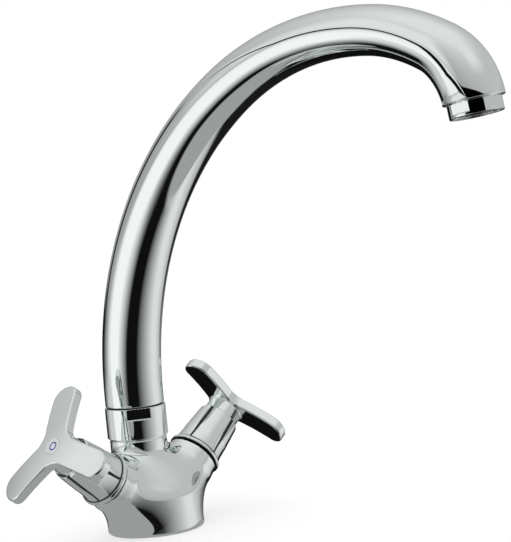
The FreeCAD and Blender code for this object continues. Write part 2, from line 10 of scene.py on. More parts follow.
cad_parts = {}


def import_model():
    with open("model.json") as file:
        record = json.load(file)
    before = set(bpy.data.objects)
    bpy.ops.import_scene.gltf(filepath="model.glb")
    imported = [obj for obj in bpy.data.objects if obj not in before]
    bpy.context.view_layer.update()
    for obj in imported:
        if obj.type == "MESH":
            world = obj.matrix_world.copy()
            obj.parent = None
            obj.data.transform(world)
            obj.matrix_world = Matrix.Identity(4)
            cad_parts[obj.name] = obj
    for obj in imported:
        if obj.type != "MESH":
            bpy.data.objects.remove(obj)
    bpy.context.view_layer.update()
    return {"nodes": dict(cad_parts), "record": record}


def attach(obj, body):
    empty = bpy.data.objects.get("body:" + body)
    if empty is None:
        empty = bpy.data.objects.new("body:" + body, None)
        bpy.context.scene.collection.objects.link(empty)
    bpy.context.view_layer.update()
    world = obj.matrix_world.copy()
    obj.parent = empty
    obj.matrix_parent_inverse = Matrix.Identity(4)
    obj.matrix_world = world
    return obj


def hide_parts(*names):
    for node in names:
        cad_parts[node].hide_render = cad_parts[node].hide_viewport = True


MM = 0.001

# ---- sizes, in millimetres; most are the frame's own ----
FIT = 0.05                         # running fit, on the radius
SLIT = 0.3                         # between outer faces that move past each other
PAST = 9.0                         # how far a cutting rod runs on past the surface
BORE_EDGE = 0.1                    # rounding where a blind bore ends

RISE = math.radians(36.0)          # slope of the two branches
BRANCH_Z = 8.07                    # height where the branch axes meet
BRANCH_R = 14.1
BRANCH_START = 6.0
BRANCH_END = 38.0
BRANCH_EDGE = 0.4
BRANCH_DRAW = 0.6                  # how much each branch draws in towards the skirt
BRANCH_DRAW_L = 7.0                # and over what length
BLEND_R = 9.0                      # rolled fillet between the branches and the shoulder
FOOT_R = 24.6
FOOT_TOP_R = 23.2
FOOT_H = 17.0
FOOT_EDGE = 1.2
SHOULDER_SLOPE = 0.92              # makes a distance to the axis one to the sloping side
NECK_R = 14.4
NECK_Y = 6.7
NECK_START = 41.0
NECK_TOP = 47.0
VALVE_R = 10.45
SEAT_T = 17.0
SOCKET_R = 10.5
SOCKET_FLOOR = 36.0
HOSE_R = 4.5
HOSE_X = 9.6
HOSE_PAST = 3.0
STUD_R = 4.0
STUD_Y = -14.0
STUD_DEPTH = 13.0
BODY_BORE_EDGE = 0.3

NUT_R = 15.4
NUT_TOP = 62.6
NUT_EDGE = 0.35
NUT_BORE_R = 10.75
NUT_BORE_EDGE = 0.2
FLAT_W = 12.0
FLAT_H = 5.6
FLAT_DEPTH = 1.25
FLAT_TURN = 52.0
FLAT_EDGE = 0.15

# the spout; headings are in degrees, from straight up at its foot
SPOUT_R = 14.9
SPOUT_FOOT = 63.25
SPOUT_START = 67.0
SPIGOT_GAP = 0.6                   # under the spigot's end
BENDS = ((172.0, 60.0), (145.0, 35.0), (95.0, 23.0), (33.5, 53.0))   # radius, degrees turned
LAST_HEADING = sum(turn for radius, turn in BENDS)
STATION_TURN = 1.25                # degrees between two sections
CREST_HALF_H = 11.35
CREST_HALF_W = 14.2
OUTLET_R = 13.7
OUTLET_DEPTH = 8.0
DRAW_FROM = 5.0                    # the round tube starts to turn into the crest's oval
DRAW_TURN = 85.0
SWELL_FROM = 95.0                  # the oval starts to swell to the round outlet
SWELL_SPARE = 10.0                 # and is round this far before the end
RIM_EDGE = 0.5
LEAF_COUNT = 48                    # points round the leaf, round the tube below it and in each crease
UNDER_COUNT = 56
CREASE_COUNT = 6
CREASE_STEP = 0.7                  # how far the leaf stands proud of the tube below it
CREASE_DEPTH = 0.5
CREASE_GAP = 0.45
CREASE_WIDE = 1.1                  # how much the gap opens towards the outlet
CREASE_OPEN = (105.0, 35.0)        # heading where it starts to open, and over what turn
CREASE_LIP = 0.5
CREASE_LIFT = 2.0                  # height of the crease above the middle of the section
CREASE_ROOT = (78.0, 18.0, 0.24)   # below this heading, over this turn, it climbs this much a degree
CREASE_TAIL = (150.0, 0.17)        # past this heading it climbs this much a degree
CREASE_FROM = 52.0
CREASE_GROW = 14.0
CREASE_FADE = 6.0
CREASE_SHARP = 32.0                # edges sharper than this, in degrees, stay crisp
WELD = 0.02                        # points closer than this are joined

AERATOR_R = 11.95
AERATOR_DROP = 6.4                 # how far it hangs out of the spout
AERATOR_TOP = 3.0
AERATOR_EDGE = 0.35
AERATOR_FLAT = 11.1
AERATOR_FLAT_H = 4.6
AERATOR_FLAT_EDGE = 0.12
AERATOR_THREAD_R = 10.6
AERATOR_NECK_EDGE = 0.05
AERATOR_BORE_R = 9.4
AERATOR_BORE_EDGE = 0.3
AERATOR_LIP = 1.0
AERATOR_LIP_H = 1.2
AERATOR_MOUTH_R = 10.6             # shallow mouth inside the ring's bright edge; its dark is painted shade
AERATOR_MOUTH_H = 0.9
AERATOR_MOUTH_EDGE = 0.2
COMB_R = 8.0                       # honeycomb in the mouth of the aerator
COMB_CELL = 1.9
COMB_WALL = 0.22
COMB_DEPTH = 0.9
COMB_GAP = 0.03                    # under the jet plate

ARMS = 3
ARM_REACH = 35.4
ARM_W = 14.2
ARM_SWEEP = 3.8
ARM_EDGE = 1.0
CROTCH_R = 4.0
PLATE_BACK = 72.65
PLATE_FRONT = 78.15
HUB_R = 9.3
HUB_START = 61.5
HUB_SINK = 2.0                     # how far the hub runs into the plate
HUB_EDGE = 0.3
HUB_BLEND = 1.2
CAP_R = 4.25
CAP_H = 1.4
CAP_SEAT_EDGE = 0.05
CAP_RIM_EDGE = 0.08
TURN = {"cold": 48.0, "hot": 90.0}
SIDE = {"cold": -1, "hot": 1}

SKIRT_START = 38.3
SKIRT_TOP = 65.0
SKIRT_RIM_R = 14.2
SKIRT_RIM_H = 3.1
SKIRT_RIM_BLEND = 0.25
SKIRT_TOP_R = 10.9
SKIRT_WAIST_R = 12.1
SKIRT_WALL = 1.2
SKIRT_SEAT = 1.0                   # thickness of the top that rests on the hub's foot
SKIRT_FLARE = 0.4                  # share of the length that flares
SKIRT_FLARE_MOST = 1.2             # the flare grows no further under the ring
SKIRT_SHOULDER = 1.2
SKIRT_SLOPE = 0.97                 # makes a distance to the axis one to the sloping side
SKIRT_BELL_RISE = 0.5
SKIRT_BELL_EDGE = 0.9
SKIRT_BORE_EDGE = 0.2
FLUTES = 5
FLUTE_R = 1.0                      # at the grip; each flute narrows towards the ring
FLUTE_DEPTH = 0.9
FLUTE_TAPER = 0.6
FLUTE_GROW = 1.6                   # how soon they are full, as ends of the length
FLUTE_START = 0.8
FLUTE_EDGE = 0.35

# where painted shade darkens the plating, and the width of each soft edge
FLUTE_SHADE = 0.96                 # how dark the painted shade in the bottom of a flute goes
FLUTE_SHADE_FROM = 0.1
FLUTE_SHADE_SOFT = 0.25
FLUTE_SHADE_NEAR = 0.25            # only this near a flute
GROOVE_SHADE = 1.2
GROOVE_SHADE_SOFT = 0.7
RIM_SHADE_H = 0.36                 # share of the ring's height
RIM_SHADE_SOFT = 0.5
MOUTH_SHADE_IN = 0.05              # how far inside the mouth's edge it starts
MOUTH_SHADE_SOFT = 0.2
MOUTH_SHADE_H = 0.3
UNDERSIDE_SHADE_H = 0.16
UNDERSIDE_SHADE_SOFT = 0.14

# grids that the skins are cut from
SKIN_ROOM = 1.5                    # space left round a form
BODY_LOW = (-42.0, -27.0, -SKIN_ROOM)
BODY_HIGH = (42.0, 27.0, NECK_TOP + SKIN_ROOM)
AERATOR_ROOM = (12.0, -6.5, AERATOR_TOP)   # reach, lowest and highest
BODY_CELL = 0.55
NUT_CELL = 0.33
AERATOR_CELL = 0.3
HANDLE_CELL = 0.45
SKIRT_CELL = 0.3

# ---- finishes ----
FINISHES = {
    # colour, metallic, least and greatest roughness, grain per metre, relief in metres
    "chrome_plate": ((0.905, 0.95, 0.94), 1.0, 0.03, 0.06, 90.0, 0.0),
    "brass": ((0.72, 0.52, 0.24), 1.0, 0.18, 0.35, 400.0, 0.00002),
    "steel": ((0.55, 0.55, 0.57), 1.0, 0.2, 0.35, 500.0, 0.00002),
    "ceramic": ((0.86, 0.85, 0.82), 0.0, 0.12, 0.25, 300.0, 0.0),
    "rubber": ((0.025, 0.025, 0.027), 0.0, 0.5, 0.7, 600.0, 0.00005),
    "fibre": ((0.05, 0.042, 0.038), 0.0, 0.7, 0.9, 900.0, 0.00008),
    "white_plastic": ((0.83, 0.83, 0.81), 0.0, 0.3, 0.45, 500.0, 0.00002),
    "dark_plastic": ((0.025, 0.025, 0.027), 0.0, 0.45, 0.6, 500.0, 0.00002),
    "index_face": ((0.82, 0.83, 0.85), 0.0, 0.1, 0.2, 400.0, 0.0),
    "index_blue": ((0.012, 0.015, 0.33), 0.0, 0.35, 0.5, 400.0, 0.0),
    "index_red": ((0.45, 0.015, 0.015), 0.0, 0.35, 0.5, 400.0, 0.0),
}
DARK_NODES = ("aerator_insert", "spout_washer")
DARK_PLASTIC_GLOSS = 0.12
# painted shade: the near-black colour that the plating is darkened to in creases and hollows
PAINTED_SHADE_TONE = (0.012, 0.013, 0.013, 1)
MOTTLE_DETAIL = 3

# ---- camera and studio ----
CAMERA_AT = (-660.07, -687.21, 200.03)
CAMERA_TURN = math.radians(-47.60)
CAMERA_LIFT = math.radians(4.51)
CAMERA_ROLL = math.radians(5.47)
LENS = 126.13
TOWARD = math.atan2(-math.cos(CAMERA_TURN), math.sin(CAMERA_TURN))   # from the tap to the front of the studio

FLOOR_HALF = 3.0                   # metres
FLOOR_TONE = 0.8
FLOOR_ROUGHNESS = 0.7
FLOOR_LIFT = 0.43                  # glow that brings the floor to white
SKY_TONE = 0.80                    # what matt surfaces see all round
GAP_TONE = 0.005                   # what the polish sees between the cards
DARK_AWAY = 100.0                  # black card in front of the outlet: distance, then degrees across and up
DARK_SPAN = (-52.0, 29.0)
DARK_RISE = (-4.0, 17.0)
TABLE_TONE = 0.34
TABLE_Z = -0.5                     # just under the floor, which the polish does not see
TABLE_STEPS = 49
TABLE_CARDS = (
    # name, radius, and the degrees that it spans
    ("left_table", 110.0, (-108.0, -17.0)),
    ("front_table", 44.0, (-17.0, 110.0)),
)
CARD_EDGES = ("Left", "Left Full", "Right Full", "Right", "Low", "Low Full", "High Full", "High")
CARDS = (
    # name, strength, azimuths and heights in degrees where it starts, is full, is full still and ends
    ("table", 0.35, (-400, -399, 399, 400), (-91, -90, -64, -60)),
    ("horizon", 0.37, (-400, -399, 399, 400), (-2, 1, 99, 100)),
    ("ceiling", 0.77, (-400, -399, 399, 400), (12, 72, 99, 100)),
    ("right_ceiling", 0.53, (-20, 70, 130, 175), (-6, 14, 22, 58)),
    ("right_lamp", 0.76, (5, 28, 55, 84), (32, 50, 66, 82)),
    ("left_ceiling", 0.78, (-115, -92, -55, -42), (5, 20, 50, 60)),
    ("left_wall", 0.38, (-142, -110, -80, -60), (-9, -7, 0, 4)),
    ("left_window", 0.96, (-112, -88, -56, -18), (-51, -28, -1, 5)),
    ("left_window_top", 0.90, (-96, -86, -66, -56), (-3, 0, 5, 9)),
    ("left_corner", 0.63, (-145, -112, -92, -86), (-24, -12, -8, -6)),
    ("right_window", 0.75, (20, 90, 110, 185), (-66, -63, -1, 5)),
    ("right_end", 0.01, (138, 146, 185, 190), (-66, -60, -16, -8)),
    ("dark_corner", 0.01, (-146, -138, -132, -124), (-8, 0, 18, 24)),
)


# ---- distance fields: negative inside, in millimetres ----
def joined(a, b, radius):
    """Union of two fields with a rolled fillet between them."""
    corner = np.hypot(np.maximum(radius - a, 0), np.maximum(radius - b, 0))
    return np.maximum(radius, np.minimum(a, b)) - corner


def common(a, b, radius):
    """What two fields share, with its edge rounded."""
    corner = np.hypot(np.maximum(radius + a, 0), np.maximum(radius + b, 0))
    return np.minimum(-radius, np.maximum(a, b)) + corner


def without(a, b, radius):
    """The first field less the second, with its edge rounded."""
    return common(a, -b, radius)


def rod(p, radius, low, high, edge, x=0.0, y=0.0):
    """Round rod along z."""
    side = np.hypot(p[:, 0] - x, p[:, 1] - y) - radius
    return common(side, np.abs(p[:, 2] - (low + high) / 2) - (high - low) / 2, edge)


def smooth(x):
    """Soft step from 0 to 1."""
    x = np.clip(x, 0.0, 1.0)
    return x * x * (3 - 2 * x)


def turned(p, angle):
    """Distances along and across a direction square to z."""
    along = p[:, 0] * math.cos(angle) + p[:, 1] * math.sin(angle)
    across = -p[:, 0] * math.sin(angle) + p[:, 1] * math.cos(angle)
    return along, across


def branch_axes(side):
    """Columns: the branch's own x, y and axis, in the tap's frame."""
    axis = np.array((side * math.cos(RISE), 0.0, math.sin(RISE)))
    across = np.array((0.0, 1.0, 0.0))
    return np.column_stack((across, np.cross(axis, across), axis))


def to_branch(p, side):
    return (p - (0, 0, BRANCH_Z)) @ branch_axes(side)


def from_branch(p, side):
    return p @ branch_axes(side).T + (0, 0, BRANCH_Z)


# ---- skins ----
def room(reach, low, high, y=0.0):
    """Corners of the grid for a form round an upright axis."""
    reach += SKIN_ROOM
    return (-reach, y - reach, low - SKIN_ROOM), (reach, y + reach, high + SKIN_ROOM)


def skin(field, low, high, cell):
    """Points, quads and normals on the zero surface of a field.

    There is one point for each cell that the surface crosses, drawn on to the surface.
    """
    low, high = np.array(low, float), np.array(high, float)
    count = np.ceil((high - low) / cell).astype(int) + 1
    axes = [low[k] + cell * np.arange(count[k]) for k in range(3)]
    grid = np.stack(np.meshgrid(*axes, indexing="ij"), axis=-1)
    inside = np.empty(tuple(count), bool)
    for i in range(count[0]):
        inside[i] = field(grid[i].reshape(-1, 3)).reshape(count[1:]) < 0
    total = sum(inside[i:count[0] - 1 + i, j:count[1] - 1 + j, k:count[2] - 1 + k].astype(int)
                for i in (0, 1) for j in (0, 1) for k in (0, 1))
    cells = np.argwhere((total > 0) & (total < 8))
    number = np.full(tuple(count - 1), -1)
    number[tuple(cells.T)] = np.arange(len(cells))
    points = low + (cells + 0.5) * cell
    faces = crossed_edges(inside, number)
    for easing in range(3):
        points = drawn_on(field, evened(points, faces), cell)
    return points, faces, unit(slope(field, points))


def crossed_edges(inside, number):
    """One quad round every grid edge that passes through the surface, wound to face outwards."""
    faces = []
    for axis in range(3):
        along = np.moveaxis(inside, axis, 0)
        change = np.moveaxis(along[:-1] != along[1:], 0, axis)
        starts = np.argwhere(change)
        u, v = [k for k in range(3) if k != axis]
        keep = (starts[:, u] > 0) & (starts[:, v] > 0)
        keep &= (starts[:, u] < number.shape[u]) & (starts[:, v] < number.shape[v])
        starts = starts[keep]
        corners = []
        for du, dv in ((-1, -1), (0, -1), (0, 0), (-1, 0)):
            at = starts.copy()
            at[:, u] += du
            at[:, v] += dv
            corners.append(number[tuple(at.T)])
        quad = np.column_stack(corners)
        out = inside[tuple(starts.T)] ^ (axis == 1)
        quad[~out] = quad[~out][:, ::-1]
        faces.append(quad)
    return np.vstack(faces)


def evened(points, faces):
    """Each point moved half way to the middle of its neighbours."""
    total = np.zeros_like(points)
    count = np.zeros(len(points))
    for a, b in ((0, 1), (1, 2), (2, 3), (3, 0)):
        for p, q in ((a, b), (b, a)):
            np.add.at(total, faces[:, p], points[faces[:, q]])
            np.add.at(count, faces[:, p], 1)
    return (points + total / np.maximum(count, 1)[:, None]) / 2


def slope(field, points):
    """Gradient of a field."""
    h = 0.01
    steps = np.eye(3) * h
    return np.stack([(field(points + s) - field(points - s)) / (2 * h) for s in steps], axis=-1)


def drawn_on(field, points, cell):
    """Points moved down the gradient on to the surface, by at most a cell at a time."""
    for step in range(4):
        g = slope(field, points)
        length = np.maximum((g * g).sum(axis=1), 0.2)
        move = -(field(points) / length)[:, None] * g
        far = np.maximum(np.linalg.norm(move, axis=1) / cell, 1.0)
        points = points + move / far[:, None]
    return points


def unit(vectors):
    return vectors / np.maximum(np.linalg.norm(vectors, axis=1), 1e-9)[:, None]


def piece(name, points, faces, normals, finish, body, replaced):
    """Mesh object in metres that rides on a body and stands for a CAD node."""
    mesh = bpy.data.meshes.new(name)
    mesh.from_pydata((points * MM).tolist(), [], [list(f) for f in faces])
    mesh.polygons.foreach_set("use_smooth", [True] * len(mesh.polygons))
    mesh.materials.append(finish)
    mesh.update()
    if normals is not None:
        mesh.normals_split_custom_set_from_vertices(normals.tolist())
    obj = bpy.data.objects.new(name, mesh)
    bpy.context.scene.collection.objects.link(obj)
    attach(obj, body)
    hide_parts(replaced)
    return obj


def shade(obj, domain, values):
    """Painted shade: how far the plating's colour is darkened, read by the shaded copy of the chrome."""
    obj.data.attributes.new("crease", "FLOAT", domain).data.foreach_set("value", values)


# ---- body ----
def shoulder_field(p):
    """Foot and shoulder: the centre moves back while the section draws in to the neck."""
    share = smooth((p[:, 2] - FOOT_H) / (NECK_START - FOOT_H))
    taper = FOOT_R + (FOOT_TOP_R - FOOT_R) * np.clip(p[:, 2] / FOOT_H, 0, 1)
    radius = taper + (NECK_R - FOOT_TOP_R) * share
    side = np.hypot(p[:, 0], p[:, 1] - NECK_Y * share) - radius
    ends = np.abs(p[:, 2] - NECK_TOP / 2) - NECK_TOP / 2
    return common(side * SHOULDER_SLOPE, ends, FOOT_EDGE)


def body_field(p):
    """Shoulder and both branches, with the sockets for the spout, the valves, the hoses and the stud."""
    solid = shoulder_field(p)
    bores = rod(p, SOCKET_R, SOCKET_FLOOR, NECK_TOP + PAST, BORE_EDGE, y=NECK_Y)
    for side in (1, -1):
        q = to_branch(p, side)
        end_r = BRANCH_R - BRANCH_DRAW * smooth((q[:, 2] - BRANCH_END + BRANCH_DRAW_L) / BRANCH_DRAW_L)
        solid = joined(solid, rod(q, end_r, BRANCH_START, BRANCH_END, BRANCH_EDGE), BLEND_R)
        bores = np.minimum(bores, rod(q, VALVE_R, SEAT_T, BRANCH_END + PAST, BORE_EDGE))
        bores = np.minimum(bores, rod(p, HOSE_R, -PAST, BRANCH_Z + HOSE_PAST, BORE_EDGE, x=side * HOSE_X))
    bores = np.minimum(bores, rod(p, STUD_R, -PAST, STUD_DEPTH, BORE_EDGE, y=STUD_Y))
    return without(np.maximum(solid, -p[:, 2]), bores, BODY_BORE_EDGE)


def make_body(chrome):
    points, faces, normals = skin(body_field, BODY_LOW, BODY_HIGH, BODY_CELL)
    piece("body_skin", points, faces, normals, chrome, "tap_body", "body")


# ---- collar nut ----
def nut_field(p):
    """Collar with two spanner flats at its top."""
    solid = rod(p, NUT_R, NECK_TOP, NUT_TOP, NUT_EDGE, y=NECK_Y)
    centred = p - (0, NECK_Y, 0)
    for turn in (FLAT_TURN, FLAT_TURN + 180):
        out, across = turned(centred, math.radians(turn))
        notch = np.maximum(np.abs(across) - FLAT_W / 2, NUT_TOP - FLAT_H - p[:, 2])
        notch = np.maximum(notch, NUT_R - FLAT_DEPTH - out)
        solid = without(solid, notch, FLAT_EDGE)
    bore = np.hypot(centred[:, 0], centred[:, 1]) - NUT_BORE_R
    return without(solid, bore, NUT_BORE_EDGE)


def make_nut(chrome):
    points, faces, normals = skin(nut_field, *room(NUT_R, NECK_TOP, NUT_TOP, NECK_Y), NUT_CELL)
    piece("collar_nut", points, faces, normals, chrome, "tap_body", "neck_nut")


# ---- spout ----
def spout_path(step):
    """Stations (reach, height, heading in degrees) up the straight root and round the bends."""
    reach, height, heading = 0.0, SPOUT_START, 0.0
    stations = [(0.0, SPOUT_FOOT + k * (SPOUT_START - SPOUT_FOOT) / 3, 0.0) for k in range(4)]
    for radius, turn in BENDS:
        steps = math.ceil(turn / step)
        start = math.radians(heading)
        for k in range(1, steps + 1):
            now = math.radians(heading + turn * k / steps)
            stations.append((reach + radius * (math.cos(start) - math.cos(now)),
                             height + radius * (math.sin(now) - math.sin(start)), math.degrees(now)))
        reach, height, heading = stations[-1]
    return stations


def section_sizes(heading):
    """Half height and half width of the section at a heading."""
    draw_in = smooth((heading - DRAW_FROM) / DRAW_TURN)
    swell = smooth((heading - SWELL_FROM) / (LAST_HEADING - SWELL_SPARE - SWELL_FROM))
    half_h = SPOUT_R + (CREST_HALF_H - SPOUT_R) * draw_in + (OUTLET_R - CREST_HALF_H) * swell
    half_w = SPOUT_R + (CREST_HALF_W - SPOUT_R) * draw_in + (OUTLET_R - CREST_HALF_W) * swell
    return half_h, half_w


def crease_lift(heading):
    """Height of the crease above the middle of the section."""
    root_end, root_turn, root_climb = CREASE_ROOT
    tail_start, tail_climb = CREASE_TAIL
    root = root_climb * min(max(0, root_end - heading), root_turn)
    return CREASE_LIFT + root + tail_climb * max(0, heading - tail_start)


def crease_side(heading):
    """Right-hand crease from the leaf's edge inwards: rounded lip, step and gap.

    Also gives the angles where the leaf ends and the tube below goes on, and how far that tube steps in.
    """
    half_h, half_w = section_sizes(heading)
    size = smooth((heading - CREASE_FROM) / CREASE_GROW) * smooth((LAST_HEADING - heading) / CREASE_FADE)
    top = math.asin(crease_lift(heading) / half_h)
    edge = np.array((half_w * math.cos(top), half_h * math.sin(top)))
    out = np.array((math.cos(top) / half_w, math.sin(top) / half_h))
    out = out / np.linalg.norm(out)
    up = np.array((-out[1], out[0]))
    lip = CREASE_LIP * size
    gap = (CREASE_GAP + CREASE_WIDE * smooth((heading - CREASE_OPEN[0]) / CREASE_OPEN[1])) * size
    middle = edge - lip * out
    points = [middle + lip * (out * math.cos(a) - up * math.sin(a)) for a in np.radians((0, 30, 60, 90))]
    points.append(points[-1] - ((CREASE_STEP + CREASE_DEPTH) * size - lip) * out)
    points.append(points[-1] - gap * up)
    return np.array(points), top, top - (lip + gap) / half_h, CREASE_STEP * size


def section_points(heading):
    """Closed outline across the spout: the leaf above, a crease on each side and the narrower tube below."""
    half_h, half_w = section_sizes(heading)
    crease, top, foot, step = crease_side(heading)
    a = np.linspace(top, math.pi - top, LEAF_COUNT)[1:-1]
    leaf = np.column_stack((half_w * np.cos(a), half_h * np.sin(a)))
    a = np.linspace(math.pi - foot, 2 * math.pi + foot, UNDER_COUNT)
    under = np.column_stack(((half_w - step) * np.cos(a), half_h * np.sin(a)))
    return np.vstack((leaf, crease * (-1, 1), under, crease[::-1]))


def crease_faces(rings):
    """Which of the quads between the rings lie inside a crease."""
    leaf = LEAF_COUNT - 2
    count = leaf + UNDER_COUNT + 2 * CREASE_COUNT
    depth = CREASE_COUNT // 2
    left = leaf + depth
    right = leaf + CREASE_COUNT + UNDER_COUNT - 1
    inside = set(range(left, left + depth)) | set(range(right, right + depth))
    return [i % count in inside for i in range((rings - 1) * count)]


def on_station(outline, station, ahead=0.0):
    """Section outline placed across the path at a station; ahead moves it on along the water's way."""
    reach, height, heading = station
    a = math.radians(heading)
    out = np.array((0, math.cos(a), math.sin(a)))
    way = np.array((0, -math.sin(a), math.cos(a)))
    centre = np.array((0, NECK_Y - reach, height)) + way * ahead
    return centre + outline[:, :1] * (1, 0, 0) + outline[:, 1:] * out


def scaled_in(outline, amount):
    """Outline drawn in by a distance."""
    r = np.linalg.norm(outline, axis=1)
    return outline * ((r - amount) / r)[:, None]


def ringed(rings):
    """Quads between closed rings of equal length, with a fan closing each end."""
    n = len(rings[0])
    points = np.vstack(rings + [rings[0].mean(axis=0)[None], rings[-1].mean(axis=0)[None]])
    faces = []
    for k in range(len(rings) - 1):
        for i in range(n):
            j = (i + 1) % n
            faces.append((k * n + i, (k + 1) * n + i, (k + 1) * n + j, k * n + j))
    first, last = len(rings) * n, len(rings) * n + 1
    faces += [(first, i, (i + 1) % n) for i in range(n)]
    faces += [(last, (len(rings) - 1) * n + (i + 1) % n, (len(rings) - 1) * n + i) for i in range(n)]
    return points, faces


def spout_rings():
    """Rings from the spigot's end, round the foot's edge, along the bends and into the outlet."""
    stations = spout_path(STATION_TURN)
    first, last = stations[0], stations[-1]
    root, rim = section_points(first[2]), section_points(last[2])
    rings = [on_station(scaled_in(root, SPOUT_R - SOCKET_R), first, SOCKET_FLOOR + SPIGOT_GAP - SPOUT_FOOT),
             on_station(scaled_in(root, SPOUT_R - SOCKET_R + FIT), first),
             on_station(scaled_in(root, RIM_EDGE), first)]
    for a in np.radians((30, 60)):
        ahead = RIM_EDGE * (1 - math.cos(a))
        rings.append(on_station(scaled_in(root, RIM_EDGE * (1 - math.sin(a))), first, ahead))
    rings += [on_station(section_points(s[2]), s, RIM_EDGE if s is first else 0) for s in stations[:-1]]
    for a in np.radians((0, 30, 60, 90)):
        ahead = RIM_EDGE * (math.sin(a) - 1)
        rings.append(on_station(scaled_in(rim, RIM_EDGE * (1 - math.cos(a))), last, ahead))
    mouth = scaled_in(rim, OUTLET_R - AERATOR_THREAD_R)
    return rings + [on_station(mouth, last), on_station(mouth, last, -OUTLET_DEPTH)]


def make_spout(shaded_chrome):
    """Skin of the swept spout, with the inside of its creases painted dark as shade."""
    rings = spout_rings()
    points, faces = ringed(rings)
    obj = piece("spout_skin", points, faces, None, shaded_chrome, "swivel_spout", "spout")
    # painted shade: the faces inside each crease are marked to be painted near black
    inside = crease_faces(len(rings))
    shade(obj, "FACE", [float(i) for i in inside] + [0.0] * (len(faces) - len(inside)))
    work = bmesh.new()
    work.from_mesh(obj.data)
    bmesh.ops.remove_doubles(work, verts=work.verts, dist=WELD * MM)
    work.to_mesh(obj.data)
    work.free()
    obj.data.set_sharp_from_angle(angle=math.radians(CREASE_SHARP))


# ---- aerator, modelled with the outlet's rim at zero and +z back up into the spout ----
def outlet_frame():
    """Columns: the outlet's own x, y and the way back up into the spout; and the middle of its rim."""
    station = spout_path(STATION_TURN)[-1]
    a = math.radians(station[2])
    out = (0, math.cos(a), math.sin(a))
    back = (0, math.sin(a), -math.cos(a))
    return np.column_stack(((-1, 0, 0), out, back)), np.array((0, NECK_Y - station[0], station[1]))


def aerator_field(p):
    """Ring with four flats, a thread above and a shallow mouth below."""
    rho = np.hypot(p[:, 0], p[:, 1])
    ring = rod(p, AERATOR_R, -AERATOR_DROP, AERATOR_TOP, AERATOR_EDGE)
    square = np.maximum(np.abs(p[:, 0]), np.abs(p[:, 1])) - AERATOR_FLAT
    flats = np.maximum(-SLIT - AERATOR_FLAT_H - p[:, 2], -square)
    ring = without(ring, flats, AERATOR_FLAT_EDGE)
    neck = np.maximum(-SLIT - p[:, 2], AERATOR_THREAD_R - rho)
    ring = without(ring, neck, AERATOR_NECK_EDGE)
    mouth = rod(p, AERATOR_MOUTH_R, -AERATOR_DROP - PAST, AERATOR_MOUTH_H - AERATOR_DROP, BORE_EDGE)
    ring = without(ring, mouth, AERATOR_MOUTH_EDGE)
    return without(ring, rho - (AERATOR_BORE_R - AERATOR_LIP), AERATOR_BORE_EDGE)


def make_aerator(shaded_chrome):
    points, faces, normals = skin(aerator_field, *room(*AERATOR_ROOM), AERATOR_CELL)
    axes, middle = outlet_frame()
    obj = piece("aerator_ring", points @ axes.T + middle, faces, normals @ axes.T, shaded_chrome, "swivel_spout",
                "aerator_shell")
    # painted shade: the mouth and the flat underside are painted dark
    rho = np.hypot(points[:, 0], points[:, 1])
    within = smooth((AERATOR_MOUTH_R - MOUTH_SHADE_IN - rho) / MOUTH_SHADE_SOFT)
    mouth = within * (points[:, 2] < AERATOR_MOUTH_H + MOUTH_SHADE_H - AERATOR_DROP)
    underside = smooth((UNDERSIDE_SHADE_H - AERATOR_DROP - points[:, 2]) / UNDERSIDE_SHADE_SOFT)
    shade(obj, "POINT", np.maximum(mouth, underside))


